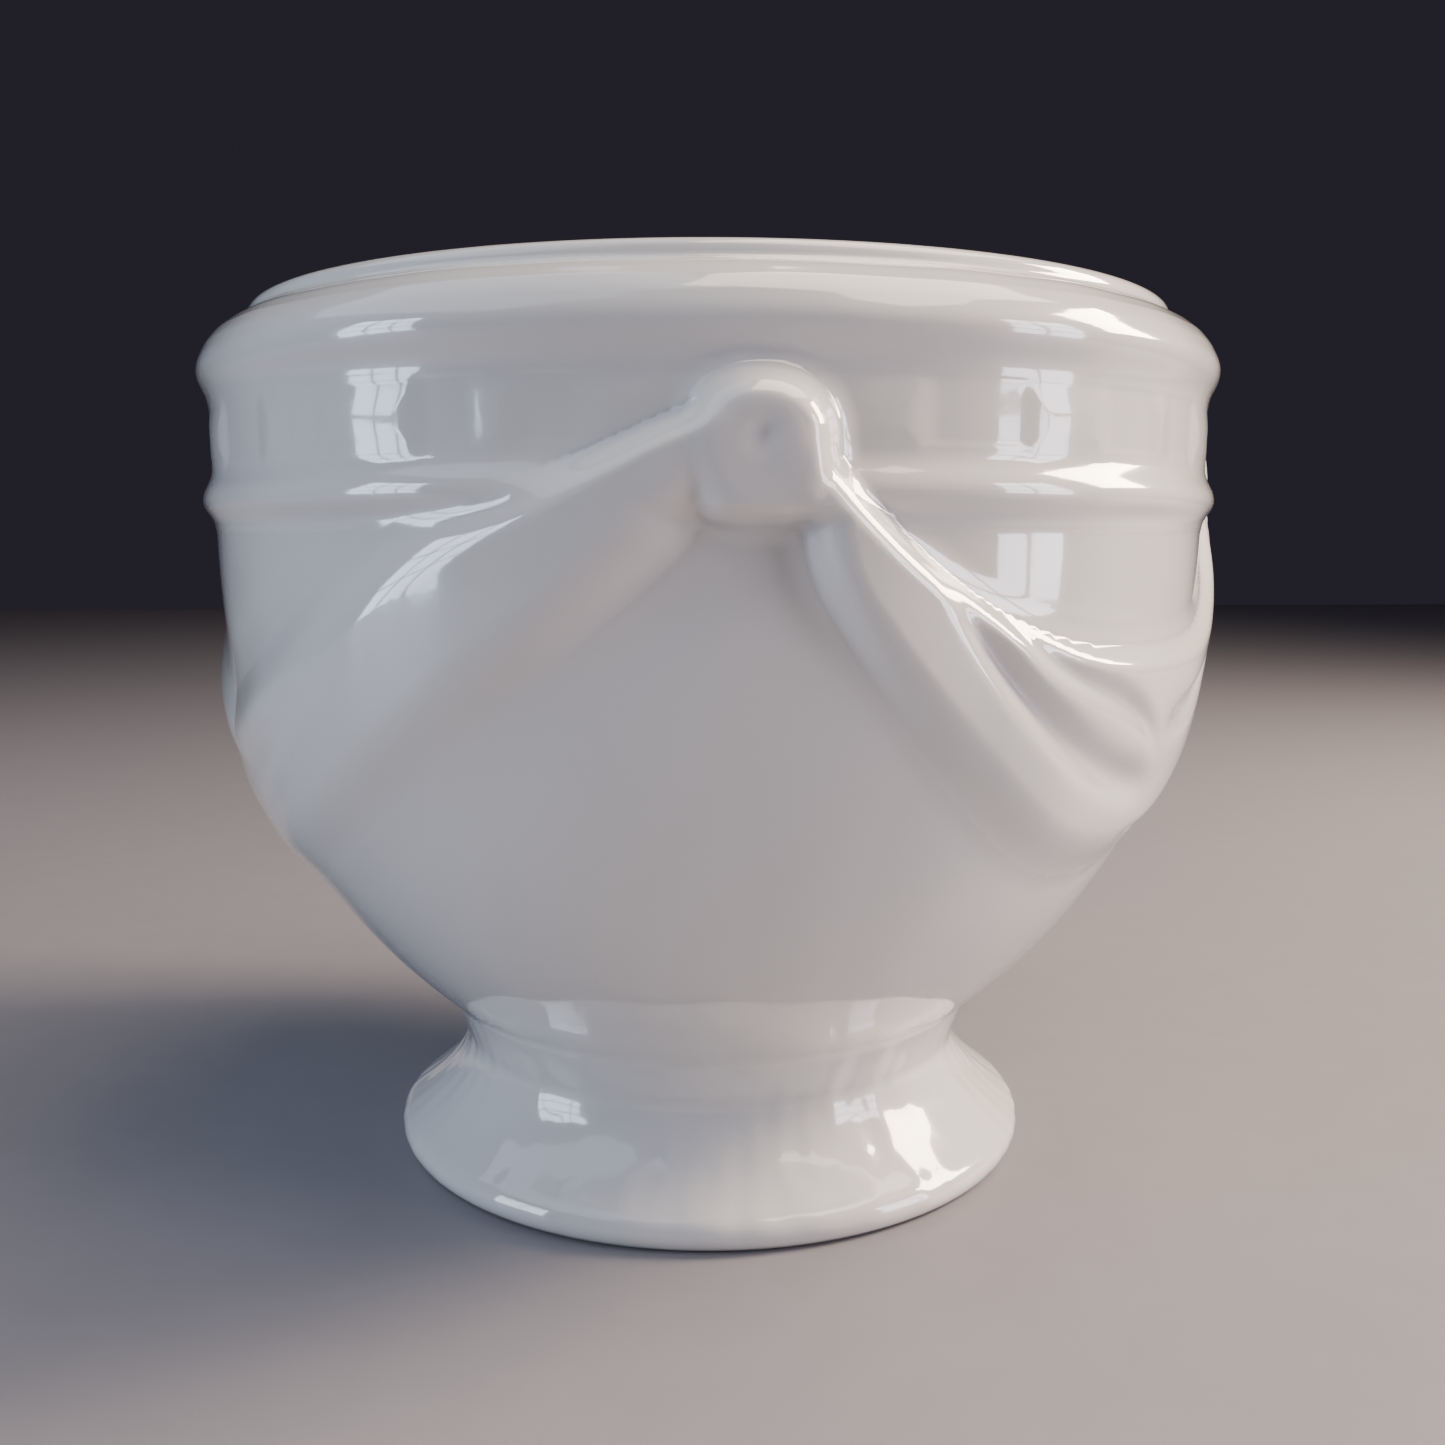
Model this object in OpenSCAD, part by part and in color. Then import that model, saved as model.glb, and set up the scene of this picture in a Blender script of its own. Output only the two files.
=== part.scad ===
// Footed punch bowl in white glazed ceramic: a deep round bowl on a hollow flared foot,
// with two moulded beads, a frieze of soft raised panels between them, three knots and
// three draped swags hung from knot to knot. +Z is up, the origin is the centre of the
// face it stands on, and the front knot faces -Y. All sizes are in millimetres.

/* [Bowl] */
// Outer radius of the wall in the crease under the lower bead
belly_r = 126.5; // [116:0.5:136]
// Wall thickness at the side
wall_t = 6; // [4:0.5:8]
// Height of the crease where the bowl wall meets the lower bead
crease_z = 166; // [150:1:180]
// How far the wall comes in from that crease down to the neck
underside_in = 53; // [44:0.5:58]
// Sharpness of the turn of the wall into the underside
underside_power = 2.75; // [2.2:0.05:3.2]
// Even taper of the wall on top of that turn
wall_taper = 2; // [0:0.5:4]
// Height of the inside of the bowl's floor
floor_z = 46; // [43:1:54]

/* [Beads and rim] */
// Height of the frieze band above the crease
frieze_h = 40; // [30:1:46]
// Radius of the section of the lower bead
lower_bead_r = 5; // [4:0.5:6]
// Radius of the section of the upper bead
upper_bead_r = 5.5; // [4:0.5:6.5]
// Height of the rounded shoulder above the upper bead
shoulder_h = 7.5; // [6:0.5:9]
// How far the shoulder comes in to the collar of the rim
shoulder_in = 8.5; // [7:0.5:10]
// Height of the rim's lip above the shoulder
lip_h = 4.5; // [4:0.5:6]

/* [Foot] */
// Height of the narrowest part of the neck
neck_z = 28; // [24:1:32]
// Outer radius of the narrowest part of the neck
neck_r = 67.4; // [60:0.5:70]
// Height where the neck collar meets the bowl
neck_top_z = 40; // [36:1:42]
// Largest radius of the foot, at its rolled edge
foot_r = 85.8; // [78:0.5:92]
// Radius of the section of the foot's rolled edge
foot_edge_r = 4.5; // [3.5:0.5:5.5]
// Depth ground off the rolled edge where it stands
stand_flat = 0.3; // [0.1:0.1:0.5]
// Wall thickness of the hollow foot
foot_t = 7; // [5:0.5:9]

/* [Knots and swags] */
// Directions of the three knots, anticlockwise from the front as seen from above
knot_angles = [0, 90, 225];
// Height of a knot's centre
knot_z = 179.5; // [176:0.5:184]
// Radius of a knot where it leaves the wall
knot_r = 14; // [11:0.5:16]
// How far a knot stands out from the wall
knot_out = 9.5; // [7.5:0.5:14]
// Height of a swag's folds above the wall in its middle
swag_relief = 4; // [2:0.25:5]
// Angle from one column of facets of a swag to the next
swag_step = 3; // [2.5:0.5:6]

/* [Frieze panels] */
// How far the panels stand out from the frieze
panel_relief = 1; // [0.6:0.1:1.6]
// Bevel along the panels' upper and lower edges
panel_bevel = 0.6; // [0.2:0.1:0.6]

/* [Hidden] */
$fn = 96;

glaze = "whitesmoke";
glaze_relief = "gainsboro";
glaze_shade = "lightgray";
bisque = "antiquewhite";

// Heights worked up from the crease
frieze_top_z = crease_z + frieze_h;
shoulder_top_z = frieze_top_z + shoulder_h;
rim_z = shoulder_top_z + lip_h;

// The frieze band leans out very slightly towards the top
frieze_lean = 0.7;
frieze_top_r = belly_r + frieze_lean;
lower_bead_z = crease_z + 4.5;
upper_bead_z = frieze_top_z - 4.5;
// How far the crest of a bead stands out from the band it lies on
bead_out = 2.9;

// The collar and lip of the rim
collar_r = frieze_top_r - shoulder_in;
lip_r = lip_h / 2 + 0.6;
// The lip sits this far in from the collar, and its inside runs down this far as a wall
lip_set_in = 1;
lip_skirt = 2;

// How the curves turn: 1 is a straight taper, and a higher power turns later and harder
shoulder_power = 1.6;
neck_power = 1.25;
flare_power = 1.75;
floor_power = 1.9;
side_power = 0.235;

outline_steps = 28;
// Wider and taller than anything that is cut away with them
big = 400;
trim_h = 20;

// Outer radius of the bowl at height z, without beads, panels, knots or swags
function drop(z) = max(0, (crease_z - z) / (crease_z - neck_top_z));
function wall_r(z) =
    z < crease_z
        ? belly_r - underside_in * pow(drop(z), underside_power) - wall_taper * drop(z)
        : belly_r + frieze_lean * (z - crease_z) / frieze_h;

// Inner radius of the bowl at height z: a rounded floor that turns up into the side
inner_top_r = belly_r - wall_t;
function inner_u(z) = max(0, (crease_z - z) / (crease_z - floor_z));
function inner_r(z) =
    inner_top_r * pow(max(0, 1 - pow(inner_u(z), floor_power)), side_power);

// Outer radius of the flared foot at height z, a hollow curve from neck to rolled edge.
// It meets the edge near the top of its round section, a little inside its widest point
edge_height_share = 1.9;
edge_inset_share = 0.6;
foot_top_slope_z = foot_edge_r * edge_height_share;
flare_reach = foot_r - foot_edge_r * edge_inset_share - neck_r;
function foot_u(z) = max(0, (neck_z - z) / (neck_z - foot_top_slope_z));
function foot_flare_r(z) = neck_r + flare_reach * pow(foot_u(z), flare_power);

// Outer radius of the neck collar at height z, where it opens towards the bowl
function neck_u(z) = (z - neck_z) / (neck_top_z - neck_z);
function neck_collar_r(z) = neck_r + (wall_r(neck_top_z) - neck_r) * pow(neck_u(z), neck_power);

function span(a, b, n) = [for (i = [0 : n]) a + (b - a) * i / n];

// Solid filled outline of the bowl up to the top of the frieze, used to trim what lies on it
module bowl_outline() {
    polygon(concat(
        [[0, neck_top_z]],
        [for (z = span(neck_top_z, crease_z, outline_steps)) [wall_r(z), z]],
        [[frieze_top_r, frieze_top_z], [0, frieze_top_z]]
    ));
}

// The inside has more of its outline points near the floor, where it turns fastest
crowding = 1.7;
function inside_z(i) = floor_z + (crease_z - floor_z) * pow(i / outline_steps, crowding);

module bowl_shell() {
    color(glaze) rotate_extrude() difference() {
        bowl_outline();
        polygon(concat(
            [[0, floor_z]],
            [for (i = [1 : outline_steps]) [inner_r(inside_z(i)), inside_z(i)]],
            [[inner_top_r, frieze_top_z + 1], [0, frieze_top_z + 1]]
        ));
    }
}

function shoulder_x(h) =
    shoulder_in * pow(1 - pow(h, shoulder_power), 1 / shoulder_power);

module rim_collar() {
    lip_z = rim_z - lip_r;
    lip_mid_r = collar_r - lip_r - lip_set_in;
    color(glaze) rotate_extrude() union() {
        polygon(concat(
            [[inner_top_r, frieze_top_z]],
            [for (h = span(0, 1, 10))
                [collar_r + shoulder_x(h), frieze_top_z + shoulder_h * h]],
            [[lip_mid_r, shoulder_top_z + lip_set_in / 2],
             [lip_mid_r - lip_r, lip_z],
             [lip_mid_r - lip_r, shoulder_top_z - lip_skirt]]
        ));
        translate([lip_mid_r, lip_z]) circle(lip_r);
    }
}

// A ring with a round section, lying on the outside of the bowl between two directions
module bead(section_r, z, from_angle, to_angle) {
    rotate([0, 0, from_angle]) rotate_extrude(angle = to_angle - from_angle) difference() {
        translate([wall_r(z) + bead_out - section_r, z]) circle(section_r);
        bowl_outline();
        translate([0, frieze_top_z]) square([big, trim_h]);
    }
}

module upper_bead() {
    color(glaze) bead(upper_bead_r, upper_bead_z, 0, 360);
}

// The lower bead stops at each side of a knot, where the ends of the swags cross it: this
// many degrees before the knot and after it
bead_stop_left = [18.5, 9.5, 14];
bead_stop_right = [9.5, 14, 18.5];
module lower_bead() {
    color(glaze) for (i = [0 : 2]) {
        start = knot_angles[i] + bead_stop_right[i];
        next = i == 2 ? 360 : knot_angles[i + 1];
        bead(lower_bead_r, lower_bead_z, start - 90, next - bead_stop_left[(i + 1) % 3] - 90);
    }
}

module neck_collar() {
    color(glaze_shade) rotate_extrude() polygon(concat(
        [for (z = span(neck_z, neck_top_z, 6)) [neck_collar_r(z), z]],
        [[neck_r - foot_t, neck_top_z], [neck_r - foot_t, neck_z]]
    ));
}

module pedestal_foot() {
    color(glaze) rotate_extrude() polygon(concat(
        [for (z = span(foot_top_slope_z, neck_z, 12)) [foot_flare_r(z), z]],
        [for (z = span(neck_z, foot_top_slope_z, 6)) [foot_flare_r(z) - foot_t, z]]
    ));
}

// The rolled edge that the bowl stands on, ground flat underneath. Its underside slopes
// up from the standing ring to the wall of the hollow, and a fillet joins it to the flare
underside_rise = 1;
edge_fillet_in = 0.15;
edge_fillet_up = 1.5;
module foot_edge() {
    edge_z = foot_edge_r - stand_flat;
    inside_r = foot_flare_r(foot_top_slope_z) - foot_t;
    color(bisque) rotate_extrude() difference() {
        union() {
            translate([foot_r - foot_edge_r, edge_z]) circle(foot_edge_r);
            polygon([
                [inside_r, foot_top_slope_z],
                [inside_r + underside_rise, underside_rise],
                [foot_r - foot_edge_r, 0],
                [foot_r - foot_edge_r * edge_fillet_in, edge_z * edge_fillet_up],
                [foot_flare_r(foot_top_slope_z), foot_top_slope_z]
            ]);
        }
        translate([0, foot_top_slope_z]) square([big, trim_h]);
        translate([0, -trim_h]) square([big, trim_h]);
    }
}

// Directions are measured from the front, a right angle before +X
module facing(angle) {
    rotate([0, 0, angle - 90]) children();
}

// A knot is a domed lug with a worn flat face, and a groove in it round a small button
knot_seat = 12;
knot_worn = 0.5;
button_r = 3;
groove_r = 2.2;
groove_depth = 0.5;
module knot_section() {
    face = knot_seat + knot_out - knot_worn;
    difference() {
        union() {
            square([knot_r, knot_seat]);
            intersection() {
                translate([0, knot_seat]) scale([1, knot_out / knot_r]) circle(knot_r);
                square([knot_r, face]);
            }
        }
        translate([button_r + groove_r, face + groove_r - groove_depth]) circle(groove_r);
    }
    translate([0, face + knot_worn - button_r]) intersection() {
        circle(button_r);
        square(button_r);
    }
}

module knot(angle) {
    color(glaze_relief) difference() {
        facing(angle) translate([belly_r - knot_seat, 0, knot_z])
            rotate([0, 90, 0]) rotate_extrude() knot_section();
        rotate_extrude() bowl_outline();
    }
}

module knot_front() { knot(knot_angles[0]); }
module knot_right() { knot(knot_angles[1]); }
module knot_left() { knot(knot_angles[2]); }

// A swag hangs between two knots. t is 0 in the middle of the swag and 1 at a knot, and
// its lower and upper edges rise from the middle by a power of t. v runs from the lower
// edge to the upper one.
// [from, to, lower middle, lower rise, lower power, upper middle, upper rise, upper power]
right_drape = [0, 90, 87, 83.7, 2.18, 139.5, 59.4, 2.74];
left_drape = [225, 360, 82, 84, 1.45, 127, 66, 1.12];
back_drape = [90, 225, 85, 82, 1.6, 130, 64, 1.6];

swag_rows = 14;
swag_end_angle = 4.8;
swag_edge_relief = 0.35;
// The cloth is gathered towards the knots, where it stands out further
swag_gather = 0.75;

function knot_half_angle(z) =
    abs(z - knot_z) < knot_r ? asin(sqrt(knot_r * knot_r - pow(z - knot_z, 2)) / belly_r) : 0;
function swag_t(d, a) = abs(2 * a - d[0] - d[1]) / (d[1] - d[0]);
function swag_low(d, a) = d[2] + d[3] * pow(swag_t(d, a), d[4]);
function swag_up(d, a) = d[5] + d[6] * pow(swag_t(d, a), d[7]);
function swag_z(d, a, v) = swag_low(d, a) + (swag_up(d, a) - swag_low(d, a)) * v;
function swag_end(d, v) =
    max(swag_end_angle, knot_half_angle(swag_z(d, d[0] + swag_end_angle, v)) + 0.2);

// A furrow leaves the upper edge near each knot and sinks to mid height at the middle
furrow_width = 0.055;
furrow_depth = 0.45;
edge_power = 0.45;
function furrow_v(t) = 0.42 + 0.5 * t + 0.27 * t * t;
function bell(x, width) = exp(-x * x / (2 * width * width));
function fold_height(t, v) =
    pow(max(0, 4 * v * (1 - v)), edge_power)
    * (1 - furrow_depth * bell(v - furrow_v(t), furrow_width) * (1 - pow(t, 3)))
    * (1 + swag_gather * pow(t, 4));
function swag_out(d, a, v) =
    swag_edge_relief + swag_relief * fold_height(swag_t(d, a), v);

function on_bowl(a, z, out) =
    [(wall_r(z) + out) * sin(a), -(wall_r(z) + out) * cos(a), z];

module swag(d) {
    columns = ceil((d[1] - d[0]) / swag_step);
    rows = swag_rows;
    per_side = (columns + 1) * (rows + 1);
    function at(i, j) = i * (rows + 1) + j;
    function angle_at(i, v) =
        d[0] + swag_end(d, v) + (d[1] - d[0] - 2 * swag_end(d, v)) * i / columns;
    points = [
        for (side = [0, 1])
            for (i = [0 : columns])
                for (j = [0 : rows])
                    let (v = j / rows, a = angle_at(i, v))
                    on_bowl(a, swag_z(d, a, v), side == 0 ? 0 : swag_out(d, a, v))
    ];
    back = [
        for (i = [0 : columns - 1])
            for (j = [0 : rows - 1])
                each [[at(i, j), at(i + 1, j), at(i + 1, j + 1)],
                      [at(i, j), at(i + 1, j + 1), at(i, j + 1)]]
    ];
    front = [for (f = back) [f[2] + per_side, f[1] + per_side, f[0] + per_side]];
    border = concat(
        [for (i = [0 : columns]) at(i, 0)],
        [for (j = [1 : rows]) at(columns, j)],
        [for (i = [columns - 1 : -1 : 0]) at(i, rows)],
        [for (j = [rows - 1 : -1 : 1]) at(0, j)]
    );
    around = len(border);
    edges = [
        for (k = [0 : around - 1])
            let (a = border[k], b = border[(k + 1) % around])
            each [[b, a, a + per_side], [b, a + per_side, b + per_side]]
    ];
    color(glaze_relief) polyhedron(points, concat(back, front, edges));
}

module swag_right() { swag(right_drape); }
module swag_left() { swag(left_drape); }
module swag_back() { swag(back_drape); }

// Raised panels of the frieze: each is [middle direction, half width in degrees]. One lies
// at each side of a knot, and the rest are set evenly about the middle of each span
panel_bottom_z = crease_z + 11.5;
panel_top_z = frieze_top_z - 15;
knot_panel = [11, 3.7];
short_span_panels = [[15, 5.1]];
wide_span_panels = [[17.5, 2], [31.5, 6], [45.4, 2]];
function both_sides(middle, offsets) =
    [for (p = offsets) each [[middle - p[0], p[1]], [middle + p[0], p[1]]]];
panels = concat(
    [for (k = knot_angles) each both_sides(k, [knot_panel])],
    [[45, 1.5], [157.5, 5], [292.5, 5]],
    both_sides(45, short_span_panels),
    both_sides(157.5, wide_span_panels),
    both_sides(292.5, wide_span_panels)
);

// A panel is a thin sector of a ring with its upper and lower edges bevelled
module sector(angle, half_width, from_z, to_z) {
    rotate([0, 0, angle - half_width - 90]) rotate_extrude(angle = 2 * half_width)
        polygon([
            [wall_r(from_z), from_z],
            [wall_r(from_z) + panel_relief - panel_bevel, from_z],
            [wall_r(from_z) + panel_relief, from_z + panel_bevel],
            [wall_r(to_z) + panel_relief, to_z - panel_bevel],
            [wall_r(to_z) + panel_relief - panel_bevel, to_z],
            [wall_r(to_z), to_z]
        ]);
}

module frieze_panels() {
    color(glaze_relief) for (p = panels) sector(p[0], p[1], panel_bottom_z, panel_top_z);
}

bowl_shell();
neck_collar();
pedestal_foot();
foot_edge();
lower_bead();
upper_bead();
rim_collar();
frieze_panels();
knot_front();
knot_right();
knot_left();
swag_right();
swag_left();
swag_back();
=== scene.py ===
"""Footed punch bowl in white glazed ceramic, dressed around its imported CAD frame.

The whole outside and inside of the ware is one outline of revolution, and the relief (beads,
frieze panels, swags and knots) is a height above it. Every piece is cut from that one surface,
so neighbours share their edge and their normals, and the glaze runs over them unbroken.
Lengths in the outline and relief are millimetres; Blender's are metres.
"""

import math

import bpy
import numpy as np
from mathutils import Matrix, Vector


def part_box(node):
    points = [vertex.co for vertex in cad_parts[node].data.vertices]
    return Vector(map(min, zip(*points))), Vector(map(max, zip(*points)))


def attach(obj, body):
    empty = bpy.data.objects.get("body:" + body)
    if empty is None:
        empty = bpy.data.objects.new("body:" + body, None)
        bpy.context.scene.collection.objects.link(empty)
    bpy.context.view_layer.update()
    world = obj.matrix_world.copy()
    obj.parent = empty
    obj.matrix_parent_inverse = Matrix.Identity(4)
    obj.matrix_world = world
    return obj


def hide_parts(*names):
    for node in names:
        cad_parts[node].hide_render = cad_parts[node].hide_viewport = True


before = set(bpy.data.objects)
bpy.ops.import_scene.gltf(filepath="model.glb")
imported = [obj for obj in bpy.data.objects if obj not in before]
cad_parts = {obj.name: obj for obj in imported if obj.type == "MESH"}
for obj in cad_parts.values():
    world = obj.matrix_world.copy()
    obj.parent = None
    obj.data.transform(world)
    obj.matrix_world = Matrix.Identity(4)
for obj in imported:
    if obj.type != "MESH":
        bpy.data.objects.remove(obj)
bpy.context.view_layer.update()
MM = 0.001


# ---------------------------------------------------------------- sizes from the frame

def box_mm(node):
    """Lowest and highest corner of a CAD node."""
    low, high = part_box(node)
    return np.array(low) / MM, np.array(high) / MM


_, edge_high = box_mm("foot_edge")
neck_low, neck_high = box_mm("neck_collar")
_, shell_high = box_mm("bowl_shell")
upper_low, upper_high = box_mm("upper_bead")
lower_low, lower_high = box_mm("lower_bead")
_, rim_high = box_mm("rim_collar")
knot_low, knot_high = box_mm("knot_front")

FOOT_R = edge_high[0]
FOOT_SLOPE_Z = edge_high[2]
NECK_Z = neck_low[2]
NECK_TOP_Z = neck_high[2]
FRIEZE_TOP_R = shell_high[0]
FRIEZE_TOP_Z = shell_high[2]
UPPER_BEAD_Z = (upper_low[2] + upper_high[2]) / 2
UPPER_BEAD_CREST_R = upper_high[0]
LOWER_BEAD_Z = (lower_low[2] + lower_high[2]) / 2
LOWER_BEAD_CREST_R = -lower_low[0]
RIM_Z = rim_high[2]
KNOT_Z = (knot_low[2] + knot_high[2]) / 2
KNOT_R = (knot_high[2] - knot_low[2]) / 2
LEDGE_Z = KNOT_Z - KNOT_R  # the underside of a knot
KNOT_TOP_R = -knot_low[1]

CREASE_Z = FRIEZE_TOP_Z - 40  # foot of the frieze, where the belly starts to draw in
FRIEZE_LEAN = 0.7  # how much wider the frieze is at its top
BELLY_R = FRIEZE_TOP_R - FRIEZE_LEAN
WALL_T = 6
UNDERSIDE_IN = 53  # how far the underside draws in down to the neck
UNDERSIDE_POWER = 2.75
WALL_TAPER = 2
FLOOR_Z = 46
INSIDE_DEPTH_POWER, INSIDE_POWER = 1.9, 0.235  # the round corner between wall and floor
NECK_R = 67.4
NECK_POWER = 1.25
FOOT_POWER = 1.75
FOOT_T = 7
FOOT_EDGE_R = 4.5
FOOT_SLOPE_R = FOOT_R - 0.6 * FOOT_EDGE_R  # where the slope runs into the rolled edge
STAND_FLAT = 0.3  # how much of the rolled edge is worn flat underneath
SHOULDER_H = 7.5
SHOULDER_IN = 8.5
SHOULDER_POWER = 1.6
LIP_R = 2.85
LIP_SET_BACK = 1
LOWER_BEAD_REACH = (6.6, 8.2)  # below and above its crest
UPPER_BEAD_REACH = (8.6, 8.0)

KNOT_ANGLES = (0, 90, 225)
PANEL_RELIEF = 0.65
PANEL_CORNER = 3.0
PANEL_BOTTOM_Z = CREASE_Z + 12
PANEL_TOP_Z = FRIEZE_TOP_Z - 14.5

KEY_DEPTH = 0.4  # how deep a relief piece sits in the wall behind it
FAR_BELOW = -9.0  # height of a relief away from its own place, where it never shows


# ---------------------------------------------------------------- outline of revolution

def wall_radius(z):
    """Outside of the bowl: the leaning frieze, and under it the belly."""
    drop = np.clip((CREASE_Z - z) / (CREASE_Z - NECK_TOP_Z), 0, None)
    below = BELLY_R - UNDERSIDE_IN * drop**UNDERSIDE_POWER - WALL_TAPER * drop
    lean = FRIEZE_LEAN * (z - CREASE_Z) / (FRIEZE_TOP_Z - CREASE_Z)
    return np.where(z < CREASE_Z, below, BELLY_R + lean)


def inside_radius(z):
    """Inside of the bowl, from the straight wall to the middle of the floor."""
    depth = np.clip((CREASE_Z - z) / (CREASE_Z - FLOOR_Z), 0, 1)
    corner = np.clip(1 - depth**INSIDE_DEPTH_POWER, 0, None) ** INSIDE_POWER
    return (BELLY_R - WALL_T) * corner


def foot_radius(z):
    down = np.clip((NECK_Z - z) / (NECK_Z - FOOT_SLOPE_Z), 0, None)
    return NECK_R + (FOOT_SLOPE_R - NECK_R) * down**FOOT_POWER


def neck_radius(z):
    up = np.clip((z - NECK_Z) / (NECK_TOP_Z - NECK_Z), 0, None)
    return NECK_R + (float(wall_radius(np.array(NECK_TOP_Z))) - NECK_R) * up**NECK_POWER


def arc(mid_r, mid_z, radius, start, end, steps=48):
    """Points of an arc between two directions in degrees, anticlockwise from outwards."""
    turn = np.radians(np.linspace(start, end, steps))
    return np.column_stack((mid_r + radius * np.cos(turn), mid_z + radius * np.sin(turn)))


def line_of(radius, z_values):
    return np.column_stack((radius(z_values), z_values))


class Outline:
    """A smooth curve in (radius, height) that can be read at any length along it."""

    STEP = 0.1

    def __init__(self, parts, softness):
        raw = np.vstack(parts)
        keep = np.r_[True, np.linalg.norm(np.diff(raw, axis=0), axis=1) > 1e-4]
        raw = raw[keep]
        along = np.r_[0, np.cumsum(np.linalg.norm(np.diff(raw, axis=0), axis=1))]
        self.s = np.linspace(0, along[-1], int(along[-1] / self.STEP) + 1)
        curve = np.column_stack([np.interp(self.s, along, raw[:, i]) for i in (0, 1)])
        self.curve = self.softened(curve, softness)
        slope = np.gradient(self.curve, axis=0)
        slope /= np.linalg.norm(slope, axis=1, keepdims=True)
        self.normal = np.column_stack((slope[:, 1], -slope[:, 0]))
        self.top = int(np.argmax(self.curve[:, 1]))

    def softened(self, curve, softness):
        """The curve averaged over a bell of this width, with both of its ends kept."""
        reach = int(4 * softness / self.STEP)
        weights = np.exp(-0.5 * (np.arange(-reach, reach + 1) * self.STEP / softness) ** 2)
        weights /= weights.sum()
        padded = np.vstack((
            2 * curve[0] - curve[reach:0:-1], curve, 2 * curve[-1] - curve[-2:-reach - 2:-1]
        ))
        return np.column_stack(
            [np.convolve(padded[:, i], weights, mode="valid") for i in (0, 1)]
        )

    def read(self, s):
        """Radius, height and the two parts of the normal, at each length in s."""
        return [np.interp(s, self.s, column) for column in (
            self.curve[:, 0], self.curve[:, 1], self.normal[:, 0], self.normal[:, 1]
        )]

    def outside_at(self, z):
        """The length at which the curve, on its way up to its top, reaches z."""
        part = slice(0, self.top + 1)
        return float(np.interp(z, self.curve[part, 1], self.s[part]))

    def falling_to(self, z):
        """The length at which the curve, past its top, comes down to z."""
        part = slice(self.top, None)
        return float(np.interp(-z, -self.curve[part, 1], self.s[part]))


collar_r = FRIEZE_TOP_R - SHOULDER_IN
shoulder_turn = np.linspace(0, 1, 80) ** 0.7  # closest at the top, where it turns over
lip_mid_r = collar_r - LIP_R - LIP_SET_BACK
lip_mid_z = RIM_Z - LIP_R
edge_mid_r = FOOT_R - FOOT_EDGE_R
edge_mid_z = FOOT_EDGE_R - STAND_FLAT
edge_bottom = math.degrees(math.acos(edge_mid_z / FOOT_EDGE_R))
STAND_POINT = [edge_mid_r - FOOT_EDGE_R * math.sin(math.radians(edge_bottom)), 0]

# Outside, from the stand up over the lip, and down the inside to the middle of the floor
ware = Outline([
    [STAND_POINT],
    arc(edge_mid_r, edge_mid_z, FOOT_EDGE_R, -90 + edge_bottom, 52),
    line_of(foot_radius, np.linspace(FOOT_SLOPE_Z, NECK_Z, 80)),
    line_of(neck_radius, np.linspace(NECK_Z, NECK_TOP_Z, 60)),
    line_of(wall_radius, np.linspace(NECK_TOP_Z, FRIEZE_TOP_Z, 500)),
    np.column_stack((
        collar_r + SHOULDER_IN * (1 - shoulder_turn**SHOULDER_POWER) ** (1 / SHOULDER_POWER),
        FRIEZE_TOP_Z + SHOULDER_H * shoulder_turn,
    )),
    arc(lip_mid_r, lip_mid_z, LIP_R, -15, 180),
    [[lip_mid_r - LIP_R, lip_mid_z - 3], [BELLY_R - WALL_T, FRIEZE_TOP_Z]],
    line_of(inside_radius, np.linspace(FRIEZE_TOP_Z, CREASE_Z, 80)),
    line_of(  # closest near the floor
        inside_radius, FLOOR_Z + (CREASE_Z - FLOOR_Z) * np.linspace(1, 0, 300) ** 2.2
    ),
    [[0, FLOOR_Z]],
], softness=0.7)

# Underside, from its middle down the inside of the neck and foot to the stand
hollow = Outline([
    [[0, NECK_TOP_Z], [NECK_R - FOOT_T, NECK_TOP_Z], [NECK_R - FOOT_T, NECK_Z]],
    line_of(lambda z: foot_radius(z) - FOOT_T, np.linspace(NECK_Z, FOOT_SLOPE_Z, 40)),
    [[float(foot_radius(np.array(FOOT_SLOPE_Z))) - FOOT_T + 1, 1.0]],
    [STAND_POINT],
], softness=0.9)

# Length along the hollow at which the underside of the bowl meets the neck collar
HOLLOW_CORNER = float(
    hollow.s[int(np.argmin(np.abs(hollow.curve[:, 0] - (NECK_R - FOOT_T - 1.2))))]
)


# ---------------------------------------------------------------- relief above the outline

def turned(a, from_angle):
    """Angle from from_angle to a, between -180 and 180 degrees."""
    return (a - from_angle + 180) % 360 - 180


def arc_mm(degrees):
    """Length of that much of the belly's circle."""
    return np.radians(degrees) * BELLY_R


def smooth_max(a, b, k):
    """The larger of two heights, with a fillet of width k where they meet."""
    near = np.clip(k - np.abs(a - b), 0, None) / k
    return np.maximum(a, b) + near * near * k / 4


def smooth_min(a, b, k):
    return -smooth_max(-a, -b, k)


def smooth_step(x, low, high):
    x = np.clip((x - low) / (high - low), 0, 1)
    return x * x * (3 - 2 * x)


def bell(x, width):
    return np.exp(-x * x / (2 * width * width))


def cosine_hill(x, below, above):
    """A smooth ridge, 1 high, that dies away at these distances below and above its crest."""
    reach = np.where(x < 0, below, above)
    return 0.5 + 0.5 * np.cos(np.pi * np.clip(x / reach, -1, 1))


def bead_height(x, crest, below, above):
    """A rounded ridge round the bowl. It goes on falling outside its foot."""
    beyond = np.clip(-x - below, 0, None) + np.clip(x - above, 0, None)
    return crest * cosine_hill(x, below, above) ** 0.85 - 0.35 - 0.8 * beyond


def lower_bead_height(z):
    crest = LOWER_BEAD_CREST_R - BELLY_R + 0.2
    return bead_height(z - LOWER_BEAD_Z - 0.4, crest, *LOWER_BEAD_REACH)


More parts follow.
